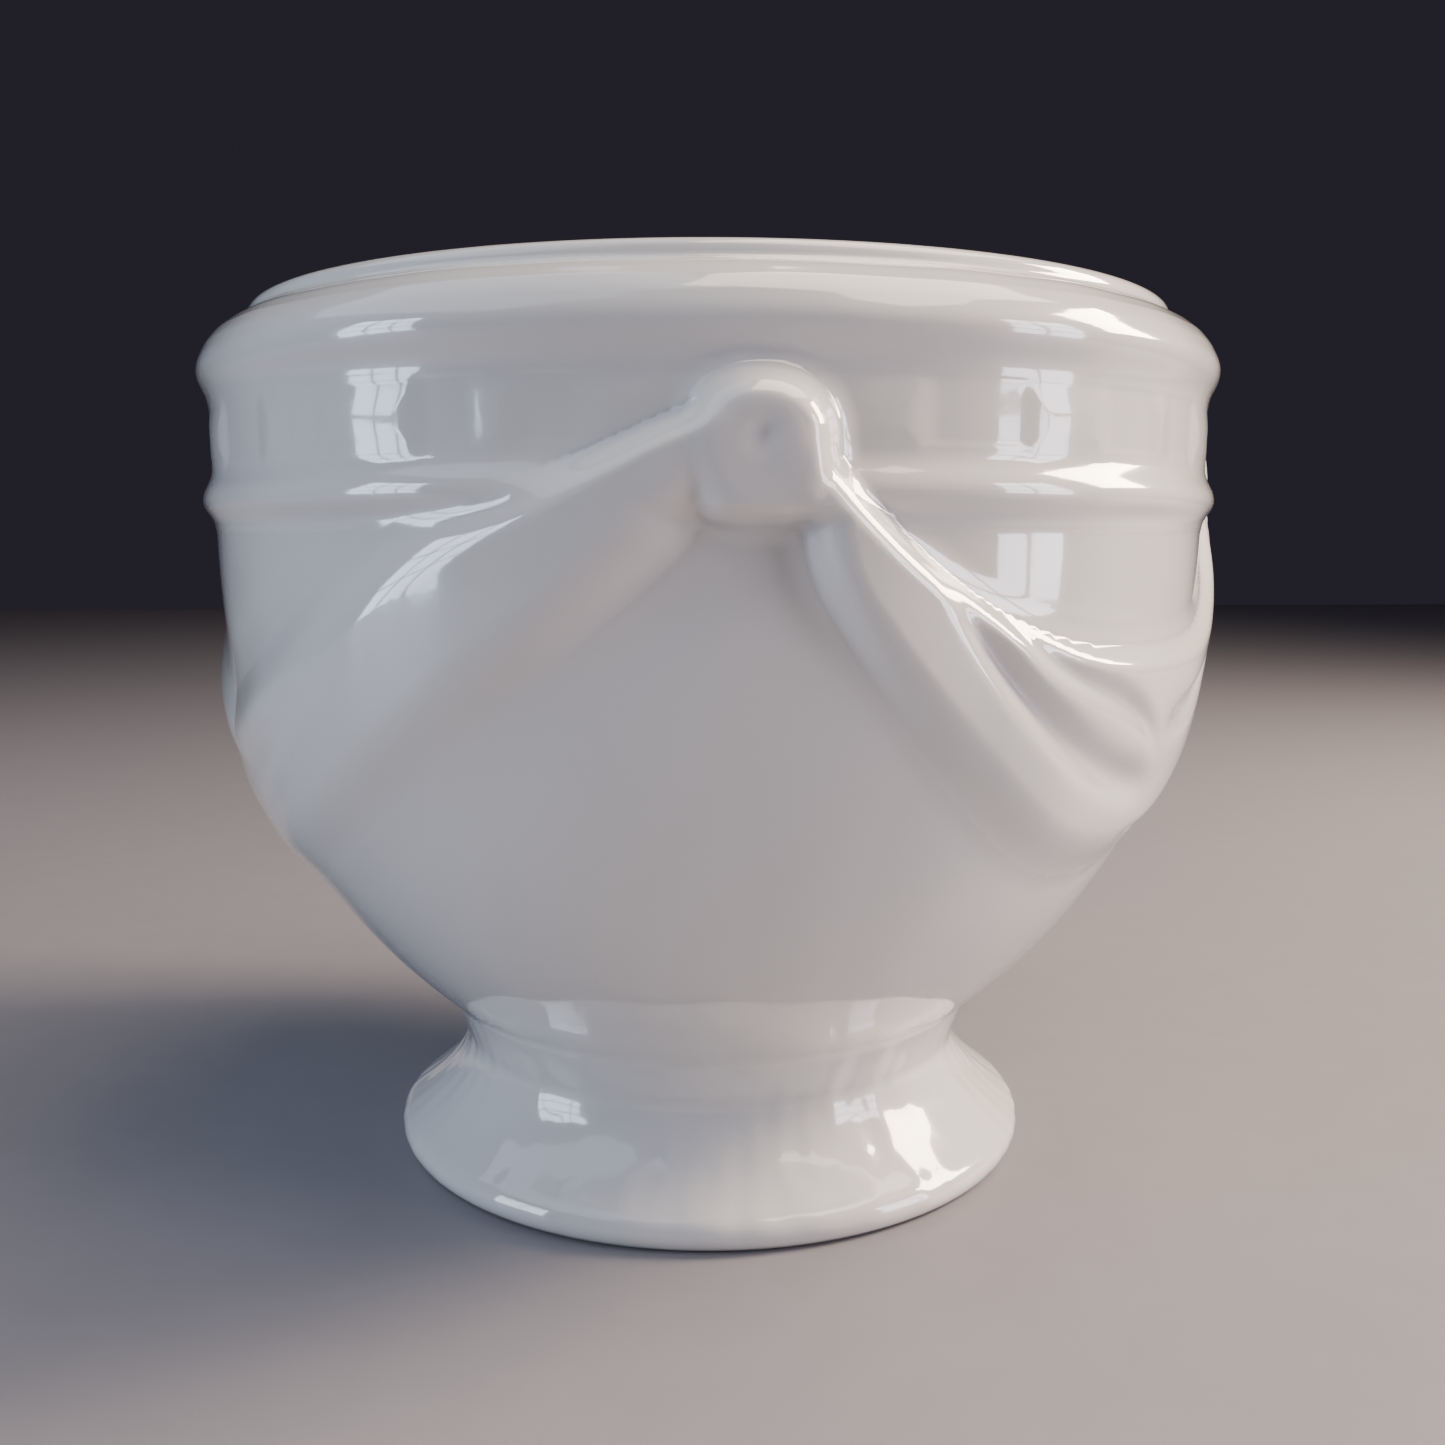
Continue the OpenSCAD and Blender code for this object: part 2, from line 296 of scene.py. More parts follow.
def upper_bead_height(z):
    crest = UPPER_BEAD_CREST_R - FRIEZE_TOP_R + 0.15
    return bead_height(z - UPPER_BEAD_Z - 0.3, crest, *UPPER_BEAD_REACH)


def wide_span(start):
    """The panels between two knots that are 135 degrees apart: (middle, half width), in
    degrees."""
    return [
        (start + 22.1, 2), (start + 36, 6), (start + 50, 2), (start + 67.5, 5),
        (start + 85, 2), (start + 99, 6), (start + 112.9, 2),
    ]


PANELS = (
    [(knot, 14.7) for knot in KNOT_ANGLES]
    + [(30.1, 5.1), (45, 1.5), (59.9, 5.1)]
    + wide_span(90)
    + wide_span(225)
)


def panel_height(a, z):
    """Plates with rounded corners and soft bevelled edges."""
    mid_z = (PANEL_TOP_Z + PANEL_BOTTOM_Z) / 2
    half_h = (PANEL_TOP_Z - PANEL_BOTTOM_Z) / 2
    best = np.full(np.shape(a), FAR_BELOW)
    for mid, half in PANELS:
        corner = min(PANEL_CORNER, arc_mm(half) - 0.2)
        qx = np.abs(arc_mm(turned(a, mid))) - arc_mm(half) + corner
        qz = np.abs(z - mid_z) - half_h + corner
        outside = np.hypot(np.clip(qx, 0, None), np.clip(qz, 0, None))
        distance = outside + np.minimum(np.maximum(qx, qz), 0) - corner
        best = np.maximum(best, np.clip(-distance, FAR_BELOW, -FAR_BELOW))
    return smooth_min(best * 0.32, np.full(np.shape(a), PANEL_RELIEF), 1.2)


class Fold:
    """A furrow that runs along a swag. Its path is drawn through a few stations, each
    (place along the swag from -1 to 1, share of the way from its lower to its upper edge)."""

    def __init__(self, stations, depth, width, fade=0.12):
        self.at, share = np.array(stations).T
        self.curve = np.polyfit(self.at, share, min(3, len(self.at) - 1))
        self.depth, self.width, self.fade = depth, width, fade

    def cut(self, t, v):
        low, high = self.at[0], self.at[-1]
        path = np.polyval(self.curve, np.clip(t, low - self.fade, high + self.fade))
        run = smooth_step(t, low - self.fade, low + self.fade)
        run = run * (1 - smooth_step(t, high - self.fade, high + self.fade))
        return self.depth * run * bell(v - path, self.width)


class Drape:
    """A swag hung between two knots. t runs from -1 at one knot to 1 at the other, and v
    from its lower edge to its upper one."""

    def __init__(self, start, end, end_angle, low, up, lift, roll, folds, relief, fillet, skirt):
        self.mid = (start + end) / 2
        self.half = (end - start) / 2
        self.end_angle = end_angle  # from the middle of a knot to the cloth hung under it
        self.low, self.up = low, up  # height in the middle, rise to the knot, its power
        self.lift = lift  # how far the upper edge is pulled up half way to a knot
        # (width in mm in the middle, width at the knot, softness) of each edge
        self.low_roll, self.up_roll = roll
        self.folds = folds
        self.relief, self.end_relief = relief  # how far it stands out, in the middle and at a knot
        self.fillet = fillet
        self.skirt = skirt  # slope at which it dies away outside its edges

    def edge(self, shape, t):
        """Height of an edge, and how much longer it is there than its angle alone."""
        mid, rise, power = shape
        run = arc_mm(self.half)
        slope = rise * power * np.clip(t, 1e-4, None) ** (power - 1) / run
        return mid + rise * t**power, np.sqrt(1 + slope**2)

    @staticmethod
    def rounded(distance, t, roll):
        """Share of the full height at this distance in from an edge. The second value is 0
        there, and falls with the distance out."""
        middle, knot, softness = roll
        width = middle + (knot - middle) * smooth_step(t, 0.4, 0.95)
        inside = np.sin(np.pi / 2 * np.clip(distance / width, 0, 1)) ** softness
        return inside, np.clip(distance, None, 0)

    def end_gap(self, t, z):
        """Distance in from the end of the cloth. Below the knot's ledge it ends at
        end_angle, and above the ledge it runs on over the knot."""
        under_knot = arc_mm((1 - t) * self.half - self.end_angle)
        above_ledge = 2.5 * (z - LEDGE_Z + 1)
        past_knot = arc_mm((1 - t) * self.half) + 3
        return smooth_min(smooth_max(under_knot, above_ledge, 6), past_knot, 3)

    def height(self, a, z):
        along = turned(a, self.mid) / self.half
        t = np.abs(along)
        low, low_tilt = self.edge(self.low, t)
        low = smooth_min(low, LEDGE_Z - 3 + 0 * t, 4)
        up, up_tilt = self.edge(self.up, t)
        up = smooth_min(up + self.lift * bell(t - 0.5, 0.14), KNOT_Z + 11 + 0 * t, 8)
        v = (z - low) / (up - low)
        low_gap = smooth_min((z - low) / low_tilt, self.end_gap(t, z), 5)
        low_in, low_out = self.rounded(low_gap, t, self.low_roll)
        up_in, up_out = self.rounded((up - z) / up_tilt, t, self.up_roll)
        folds = sum(fold.cut(along, v) for fold in self.folds)
        body = self.relief + (self.end_relief - self.relief) * smooth_step(t, 0.5, 0.97)
        rise_in = body * low_in * up_in - folds * np.minimum(low_in, up_in)
        return np.maximum(rise_in + self.skirt * np.minimum(low_out, up_out), FAR_BELOW)


DRAPES = {
    "swag_right": Drape(
        0, 90, 3.6, (87, 83.7, 2.18), (139.5, 59.4, 2.74), 0,
        ((13, 7.5, 1.15), (5.6, 7.5, 0.9)),
        [
            Fold([(-0.57, 0.80), (-0.45, 0.70), (-0.3, 0.59), (-0.1, 0.475), (0.06, 0.40)],
                 2.5, 0.062),
            Fold([(-0.46, 0.94), (-0.3, 0.86), (-0.17, 0.82), (-0.1, 0.76), (0.02, 0.65)],
                 1.9, 0.042),
            Fold([(0.16, 0.66), (0.35, 0.66), (0.85, 0.72)], 2.0, 0.055),
            Fold([(0.12, 0.16), (0.35, 0.13), (0.8, 0.22)], 2.2, 0.026),
        ],
        (4.6, 8.2), 3.0, 0.6,
    ),
    "swag_left": Drape(
        225, 360, 4.6, (80, 92, 1.6), (127, 66, 1.12), 7, ((17, 12.5, 1.2), (15, 6, 1.0)),
        [
            Fold([(-0.6, 0.75), (0.0, 0.62), (0.32, 0.72)], 1.0, 0.085, 0.2),
            Fold([(-0.5, 0.42), (-0.1, 0.33), (0.25, 0.40)], 0.7, 0.08, 0.2),
        ],
        (4.6, 8.2), 3.4, 0.34,
    ),
    "swag_back": Drape(
        90, 225, 4.2, (85, 82, 1.6), (130, 64, 1.6), 2, ((13, 6.5, 1.1), (8, 6, 1.0)),
        [
            Fold([(-0.7, 0.86), (-0.4, 0.72), (0.0, 0.52)], 1.9, 0.06),
            Fold([(0.1, 0.66), (0.4, 0.78), (0.75, 0.9)], 1.6, 0.05),
            Fold([(-0.35, 0.30), (0.0, 0.22), (0.4, 0.30)], 1.3, 0.045),
        ],
        (4.6, 8.2), 3.4, 0.7,
    ),
}

KNOTS = {"knot_front": KNOT_ANGLES[0], "knot_right": KNOT_ANGLES[1], "knot_left": KNOT_ANGLES[2]}
KNOT_TOP = KNOT_TOP_R - BELLY_R - 0.6


def knot_frame(a, z, knot_angle):
    """Place on the face of a knot, and the distance in from its rounded outline, in mm."""
    x = arc_mm(turned(a, knot_angle)) - 0.4
    y = z - KNOT_Z
    reach_z = np.where(y > 0, KNOT_R + 0.4, KNOT_R + 1.8)
    power = 2.2 + 1.2 * smooth_step(-y, 3, 12)
    rho = (
        (np.abs(x) / (KNOT_R + 1)) ** power + (np.abs(y) / reach_z) ** power
    ) ** (1 / power)
    return x, y, (1 - rho) * KNOT_R


def knot_height(a, z, knot_angle):
    """A soft lug with a rounded top, a ledge under it and a worn button in its face."""
    x, y, gap = knot_frame(a, z, knot_angle)
    width = 6.8 - 2.2 * smooth_step(-y, 7, 13)
    shape = np.sin(np.pi / 2 * np.clip(gap / width, 0, 1)) + 0.06 * gap / KNOT_R
    ring = np.hypot(x, y - 0.8)
    unworn = 0.35 + 0.65 * smooth_step(x + y, -4, 4)  # least at the lower left
    button = 0.8 * unworn * bell(ring - 4.8, 1.9) - 0.9 * bell(ring, 2.9)
    outside = np.clip(1.2 * gap, FAR_BELOW, 0)
    return np.where(gap > 0, (KNOT_TOP - 0.6) * shape + button, outside)


# The ware's unevenness: seed, number of waves, their length and their height
WALL_RIPPLE = (11, 18, 34, 0.07)
FORM_RIPPLE = (5, 14, 90, 0.10)
FOOT_RIPPLE = (23, 14, 15, 0.07)


def ripple(a, z, seed, waves, size, mm):
    """Waves in all directions that close on themselves round the bowl."""
    rng = np.random.default_rng(seed)
    total = np.zeros(np.shape(a))
    for _ in range(waves):
        length = size * rng.uniform(0.7, 1.6)
        heading = rng.uniform(0, 2 * np.pi)
        laps = round(2 * np.pi * BELLY_R * math.cos(heading) / length)
        rise = 2 * np.pi * math.sin(heading) / length
        total = total + np.cos(np.radians(a) * laps + z * rise + rng.uniform(0, 6.28))
    return total * mm / math.sqrt(waves)


def layers(a, z):
    """The height of each kind of relief on its own, above the plain wall."""
    return {
        "panel": panel_height(a, z),
        "lower": lower_bead_height(z) + 0 * a,
        "upper": upper_bead_height(z) + 0 * a,
        "knot": np.max([knot_height(a, z, angle) for angle in KNOTS.values()], axis=0),
        **{name: drape.height(a, z) for name, drape in DRAPES.items()},
    }


def relief(a, z):
    """Everything above the plain wall, with the fillets that the glaze leaves."""
    part = layers(a, z)
    height = smooth_max(np.zeros(np.shape(a)), part["panel"], 1.0)
    height = smooth_max(height, part["lower"], 1.6)
    height = smooth_max(height, part["upper"], 1.6)
    for name, drape in DRAPES.items():
        height = smooth_max(height, part[name], drape.fillet)
    knot_fillet = 2.6 + 2.4 * smooth_step(z, KNOT_Z - 13, KNOT_Z - 5)
    knotted = smooth_max(height, part["knot"], knot_fillet)
    return smooth_min(knotted, KNOT_TOP + 0.5 + 0 * z, 1.0)


def unevenness(a, s, r, z):
    """How far the ware strays from its outline. It fades out at the stand, at the lip and in
    the middle of the floor."""
    wobble = ripple(a, z, *WALL_RIPPLE) + ripple(a, z, *FORM_RIPPLE)
    foot = 1 - smooth_step(z, NECK_Z - 2, NECK_TOP_Z + 6)
    wobble = wobble + foot * ripple(a, z, *FOOT_RIPPLE)
    inside = smooth_step(s, ware.s[ware.top], ware.s[ware.top] + 30)
    wobble = wobble * (1 - 0.6 * inside) * smooth_step(r, 2, NECK_R)
    return wobble * smooth_step(z, 0.2, 5) * (1 - smooth_step(z, RIM_Z - 3, RIM_Z))


def surface(outline, a, s, has_relief=True):
    """Points of a sheet in millimetres, at angle a and length s along its outline."""
    r, z, normal_r, normal_z = outline.read(s)
    if not has_relief:
        return place(a, r, z)
    outside = s < ware.s[ware.top]
    lift = np.where(outside, relief(a, np.where(outside, z, 0)), 0)
    lift = lift + unevenness(a, s, r, z)
    return place(a, r + lift * normal_r, z + lift * normal_z)


def place(a, r, z):
    """Points at angle a, anticlockwise from above, where 0 is the front."""
    turn = np.radians(a)
    return np.stack((r * np.sin(turn), -r * np.cos(turn), z + 0 * a), axis=-1)


def surface_normal(outline, a, s, has_relief=True):
    da, ds = 0.03, 0.06
    across = surface(outline, a + da, s, has_relief) - surface(outline, a - da, s, has_relief)
    up = surface(outline, a, s + ds, has_relief) - surface(outline, a, s - ds, has_relief)
    normal = np.cross(across, up)
    length = np.linalg.norm(normal, axis=-1, keepdims=True)
    return normal / np.where(length > 1e-12, length, 1)


def key_surface(a, s):
    """The floor of the shallow key that a relief piece sits in."""
    r, z, normal_r, normal_z = ware.read(s)
    return place(a, r - KEY_DEPTH * normal_r, z - KEY_DEPTH * normal_z)


# ---------------------------------------------------------------- meshes

FINE_STEP, COARSE_STEP = 0.40, 1.18  # degrees between columns, front and back
FINE_ANGLES = (289, 449)  # the front, where the relief is seen closest
WELD = 1e-4  # points closer than this are one
POOL_AND_SHADE_REACH, POOL_AND_SHADE_GAIN = 1.3, 2.2  # how far round a point glaze gathers and painted shade reaches, and how strongly


class Piece:
    """Triangles with a normal at every corner, welded into one closed mesh at the end."""

    def __init__(self, name):
        self.name = name
        self.points, self.normals, self.pools_and_shade = [], [], []

    def add(self, points, normals, triangles, pool_and_shade=None):
        """Smooth triangles that take their points' own normals and their share of gathered glaze
        and painted shade.
        """
        self.points.append(points[triangles].reshape(-1, 3))
        self.normals.append(normals[triangles].reshape(-1, 3))
        if pool_and_shade is None:
            pool_and_shade = np.zeros(len(points))
        self.pools_and_shade.append(pool_and_shade[triangles].reshape(-1))

    def add_flat(self, points, triangles):
        """Triangles with hard edges: hidden faces where two pieces meet."""
        corners = points[triangles]
        face = np.cross(corners[:, 1] - corners[:, 0], corners[:, 2] - corners[:, 0])
        size = np.linalg.norm(face, axis=1, keepdims=True)
        face = face / np.where(size > 1e-12, size, 1)
        self.points.append(corners.reshape(-1, 3))
        self.normals.append(np.repeat(face, 3, axis=0))
        self.pools_and_shade.append(np.zeros(len(triangles) * 3))

    def welded(self):
        """Points, their share of gathered glaze and painted shade, triangles, and a normal for
        each corner of each triangle.
        """
        points = np.vstack(self.points)
        pools_and_shade = np.concatenate(self.pools_and_shade)
        normals = np.vstack(self.normals).reshape(-1, 3, 3)
        _, first, index = np.unique(
            np.round(points / WELD).astype(np.int64), axis=0,
            return_index=True, return_inverse=True,
        )
        faces = index.reshape(-1, 3)
        whole = (faces != np.roll(faces, 1, axis=1)).all(axis=1)
        return points[first], pools_and_shade[first], faces[whole], normals[whole].reshape(-1, 3)

    def mesh(self):
        points, pools_and_shade, faces, normals = self.welded()
        mesh = bpy.data.meshes.new(self.name)
        mesh.vertices.add(len(points))
        mesh.vertices.foreach_set("co", (points * MM).astype(np.float32).ravel())
        mesh.loops.add(faces.size)
        mesh.loops.foreach_set("vertex_index", faces.astype(np.int32).ravel())
        mesh.polygons.add(len(faces))
        mesh.polygons.foreach_set("loop_start", np.arange(0, faces.size, 3, dtype=np.int32))
        mesh.update(calc_edges=True)
        mesh.validate()
        mesh.polygons.foreach_set("use_smooth", np.ones(len(mesh.polygons), bool))
        if len(mesh.loops) == len(normals):
            mesh.normals_split_custom_set(normals.astype(np.float32))
        # per point: gathered glaze with painted shade in hollows, thin glaze on edges
        pool_and_shade = mesh.attributes.new("glaze_pool_and_shade", "FLOAT", "POINT")
        pool_and_shade.data.foreach_set("value", pools_and_shade.astype(np.float32))
        return mesh

    def build(self, slot, node):
        piece = bpy.data.objects.new(self.name, self.mesh())
        bpy.context.scene.collection.objects.link(piece)
        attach(piece, "root")
        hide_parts(node)
        return piece


def spaced_angles():
    """Angles of the columns, in an even number so that every second one can be left out."""
    start, end = FINE_ANGLES
    fine = np.linspace(start, end, 2 * round((end - start) / FINE_STEP / 2), endpoint=False)
    back = start + 360 - end
    coarse = np.linspace(end, start + 360, 2 * round(back / COARSE_STEP / 2), endpoint=False)
    return np.sort(np.concatenate((fine, coarse)) % 360)


RING_ANGLES = spaced_angles()
PLAIN_ANGLES = RING_ANGLES[::2]  # for the smooth sheets, inside and underneath
COLUMNS = len(RING_ANGLES)


def grid_triangles(rows, columns, normals=None):
    """Two triangles for each cell of a grid that closes on itself across the columns. Given
    the points' normals, each cell is split along the diagonal where they agree best."""
    row, column = np.meshgrid(np.arange(rows - 1), np.arange(columns), indexing="ij")
    a = (row * columns + column).ravel()
    b = (row * columns + (column + 1) % columns).ravel()
    c, d = b + columns, a + columns
    rising = np.ones((len(a), 1), bool)
    if normals is not None:
        rising[:, 0] = (normals[a] * normals[c]).sum(1) >= (normals[b] * normals[d]).sum(1)
    return np.concatenate((
        np.where(rising, np.stack((a, b, c), 1), np.stack((a, b, d), 1)),
        np.where(rising, np.stack((a, c, d), 1), np.stack((b, c, d), 1)),
    ))


def rows_between(start, end, spacing):
    """Lengths from start to end, evenly spaced at about this distance."""
    return np.linspace(start, end, max(2, int(round(abs(end - start) / spacing)) + 1))


def join_rows(*parts):
    return np.concatenate([parts[0]] + [part[1:] for part in parts[1:]])


def sheet_grid(angles, lengths):
    """(angle, length) of every point of a sheet with these columns and rows."""
    a, s = np.meshgrid(angles, lengths)
    return a.ravel(), s.ravel()


def pooling_and_shade(a, s, outline, has_relief):
    """Where the glaze gathers in hollows, which also get painted shade, or runs thin on edges:
    from about -1 to 1.
    """
    if not has_relief:
        return np.zeros(len(a))
    turn = math.degrees(POOL_AND_SHADE_REACH / BELLY_R)
    steps = ((turn, 0), (-turn, 0), (0, POOL_AND_SHADE_REACH), (0, -POOL_AND_SHADE_REACH))
    z = outline.read(s)[1]
    around = [relief(a + da, z + dz) for da, dz in steps]
    hollowness = np.mean(around, axis=0) - relief(a, z)
    # positive in hollows, whose colour is darkened by gathered glaze and painted shade
    return np.where(s < ware.s[ware.top], np.clip(hollowness * POOL_AND_SHADE_GAIN, -1, 1), 0)


def sheet_band(outline, lengths, has_relief=True, angles=RING_ANGLES):
    """What Piece.add takes for a closed band of sheet between the first and last length."""
    a, s = sheet_grid(angles, lengths)
    points = surface(outline, a, s, has_relief)
    normals = surface_normal(outline, a, s, has_relief)
    pool_and_shade = pooling_and_shade(a, s, outline, has_relief)
    return points, normals, grid_triangles(len(lengths), len(angles)), pool_and_shade


def ring(outline, s, has_relief=True, angles=RING_ANGLES):
    return surface(outline, angles, np.full(len(angles), s), has_relief)


def bridge(piece, ring_a, ring_b):
    """A hidden flat annulus from ring a to ring b. One may have half the other's columns."""
    full = max(len(ring_a), len(ring_b))
    column = np.arange(full)
    a = column * len(ring_a) // full
    b = column * len(ring_b) // full + len(ring_a)
    next_a, next_b = np.roll(a, -1), np.roll(b, -1)
    triangles = np.concatenate((
        np.stack((a, next_a, next_b), 1), np.stack((a, next_b, b), 1)
    ))
    empty = (triangles[:, 0] == triangles[:, 1]) | (triangles[:, 1] == triangles[:, 2])
    piece.add_flat(np.vstack((ring_a, ring_b)), triangles[~empty])


def split(params, triangles, phi):
    """Cuts triangles along phi = 0. Returns the points, the triangles, the one that each was
    cut from, and whether each lies where phi > 0."""
    phi = np.where(np.abs(phi) < 1e-7, 1e-7, phi)
    above = phi[triangles] > 0
    count = above.sum(axis=1)
    whole = np.flatnonzero((count == 0) | (count == 3))
    mixed = np.flatnonzero((count == 1) | (count == 2))
    cut, side = triangles[mixed], above[mixed]
    alone = count[mixed] == 1
    odd = np.where(alone, side.argmax(axis=1), (~side).argmax(axis=1))
    order = (odd[:, None] + np.arange(3)) % 3
    cut = np.take_along_axis(cut, order, axis=1)
    pairs = np.concatenate((cut[:, [0, 1]], cut[:, [0, 2]]))
    unique, index = np.unique(np.sort(pairs, axis=1), axis=0, return_inverse=True)
    low, high = unique[:, 0], unique[:, 1]
    share = (phi[low] / (phi[low] - phi[high]))[:, None]
    step = params[high] - params[low]
    step[:, 0] = turned(step[:, 0], 0)
    fresh = params[low] + share * step
    new = len(params) + index.reshape(-1)
    first, second = new[: len(cut)], new[len(cut):]
    made = np.vstack((
        triangles[whole],
        np.stack((cut[:, 0], first, second), 1),
        np.stack((first, cut[:, 1], cut[:, 2]), 1),
        np.stack((first, cut[:, 2], second), 1),
    ))
    source = np.concatenate((whole, mixed, mixed, mixed))
    is_above = np.concatenate((count[whole] == 3, alone, ~alone, ~alone))
    return np.vstack((params, fresh)), made, source, is_above


def border(triangles):
    """The directed edges that only one triangle has."""
    edges = np.concatenate((triangles[:, [0, 1]], triangles[:, [1, 2]], triangles[:, [2, 0]]))
    size = int(edges.max()) + 1
    forward = edges[:, 0] * size + edges[:, 1]
    backward = edges[:, 1] * size + edges[:, 0]
    return edges[~np.isin(forward, backward)]


def side_wall(piece, top, key, edges, outward):
    """The narrow wall, along these edges, between the glazed surface and the key under it."""
    a, b = edges[:, 0], edges[:, 1]
    if not outward:
        a, b = b, a
    down = len(top)
    triangles = np.concatenate((
        np.stack((b, a, a + down), 1), np.stack((b, a + down, b + down), 1)
    ))
    piece.add_flat(np.vstack((top, key)), triangles)


WALL_ZONES = (  # from, to and spacing of the rows: closest where the relief is finest
    (NECK_TOP_Z, 78, 3.4), (78, 95, 1.7), (95, CREASE_Z - 3, 1.25),
    (CREASE_Z - 3, FRIEZE_TOP_Z, 1.05),
)
WALL_ROWS = join_rows(*[
    rows_between(ware.outside_at(low), ware.outside_at(high), spacing)
    for low, high, spacing in WALL_ZONES
])


def inside_knot(angle):
    return lambda a, z: knot_frame(a, z, angle)[2]


def higher(mine, *others):
    """How far one kind of relief stands above the wall and above these other kinds."""
    def distance_inside(a, z):
        part = layers(a, z)
        return part[mine] - np.max([0 * a] + [part[other] for other in others], axis=0)
    return distance_inside


def pieces_of_the_wall():
    """Each relief piece and what is above 0 inside it. Each takes what those before it left."""
    return {
        **{name: inside_knot(angle) for name, angle in KNOTS.items()},
        **{name: higher(name, "lower", "upper", "panel") for name in DRAPES},
        "lower_bead": higher("lower", "upper", "panel"),
        "upper_bead": higher("upper", "panel"),
        "frieze_panels": higher("panel"),
    }


def cut_the_wall():
    """Splits the wall, from neck to shoulder, between the bowl and its relief pieces. Returns
    (angle, length) of every point, the bowl's own triangles and those of each piece."""
    a, s = sheet_grid(RING_ANGLES, WALL_ROWS)
    params = np.column_stack((a, s))
    triangles = grid_triangles(len(WALL_ROWS), COLUMNS, surface_normal(ware, a, s))
    owner = np.zeros(len(triangles), int)  # 0 is the bowl, then each piece in its turn
    names = ["bowl_shell"]
    for name, distance_inside in pieces_of_the_wall().items():
        free = np.unique(triangles[owner == 0])
        phi = np.full(len(params), -1.0)
        phi[free] = distance_inside(params[free, 0], ware.read(params[free, 1])[1])
        params, triangles, source, inside = split(params, triangles, phi)
        owner = owner[source]
        owner[(owner == 0) & inside] = len(names)
        names.append(name)
    cuts = {name: triangles[owner == i] for i, name in enumerate(names)}
    return params, cuts.pop("bowl_shell"), cuts


def build_bowl():
    """The bowl and every relief piece on it."""
    params, wall, cuts = cut_the_wall()
    a, s = params[:, 0], params[:, 1]
    top = surface(ware, a, s)
    normals = surface_normal(ware, a, s)
    pool_and_shade = pooling_and_shade(a, s, ware, True)
    key = key_surface(a, s)

    pieces = {}
    for name, triangles in cuts.items():
        piece = Piece(name + "_glazed")
        piece.add(top, normals, triangles, pool_and_shade)
        piece.add(key, -normals, triangles[:, ::-1])
        side_wall(piece, top, key, border(triangles), True)
        pieces[name] = piece

    shell = Piece("bowl_shell_glazed")
    shell.add(top, normals, wall, pool_and_shade)
    covered = np.vstack(list(cuts.values()))
    shell.add(key, normals, covered)
    edges = border(covered)
    last_row = COLUMNS * (len(WALL_ROWS) - 1)
    on_brim = (edges >= last_row).all(axis=1) & (edges < last_row + COLUMNS).all(axis=1)
    side_wall(shell, top, key, edges[~on_brim], False)
    line_the_shell(shell, key[last_row:last_row + COLUMNS])
    pieces["bowl_shell"] = shell
    return pieces


def line_the_shell(shell, brim):
    """The inside of the bowl, and its underside within the neck."""
    lower_inside = ware.falling_to(FLOOR_Z + 30)
    inside = join_rows(
        rows_between(ware.falling_to(FRIEZE_TOP_Z), lower_inside, 10),
        rows_between(lower_inside, ware.s[-1], 5.5),
    )
    shell.add(*sheet_band(ware, inside, angles=PLAIN_ANGLES))
    bridge(shell, brim, ring(ware, inside[0], angles=PLAIN_ANGLES))

    under = rows_between(0, HOLLOW_CORNER, 7)
    shell.add(*sheet_band(hollow, under, False, PLAIN_ANGLES))
    bridge(shell, ring(hollow, under[-1], False, PLAIN_ANGLES), ring(ware, WALL_ROWS[0]))


def build_ring_piece(name, outer, inner):
    """A ring-shaped piece from its rows on the outside and on the hollow underneath."""
    piece = Piece(name + "_glazed")
    piece.add(*sheet_band(ware, outer))
    piece.add(*sheet_band(hollow, inner, False))
    bridge(piece, ring(ware, outer[-1]), ring(hollow, inner[0], False))
    if inner[-1] < hollow.s[-1]:
        bridge(piece, ring(hollow, inner[-1], False), ring(ware, outer[0]))
    return piece


def build_foot():
    """Neck, foot and rolled edge, each a band of the outside and one of the hollow."""
    slope, neck, top = (ware.outside_at(z) for z in (FOOT_SLOPE_Z, NECK_Z, NECK_TOP_Z))
    in_neck, in_slope = (hollow.falling_to(z) for z in (NECK_Z, FOOT_SLOPE_Z))
    bands = {
        "neck_collar": ((neck, top, 1.2), (HOLLOW_CORNER, in_neck, 2)),
        "pedestal_foot": ((slope, neck, 1.3), (in_neck, in_slope, 4)),
        "foot_edge": ((0, slope, 0.8), (in_slope, hollow.s[-1], 2)),
    }
    return {
        name: build_ring_piece(name, rows_between(*outer), rows_between(*inner))
        for name, (outer, inner) in bands.items()
    }


def build_rim():
    """Shoulder and lip, over to the top of the wall inside."""
    rim = Piece("rim_collar_glazed")
    rows = rows_between(ware.outside_at(FRIEZE_TOP_Z), ware.falling_to(FRIEZE_TOP_Z), 0.9)
    rim.add(*sheet_band(ware, rows))
    bridge(rim, ring(ware, rows[-1]), ring(ware, rows[0]))
    return {"rim_collar": rim}


# ---------------------------------------------------------------- materials

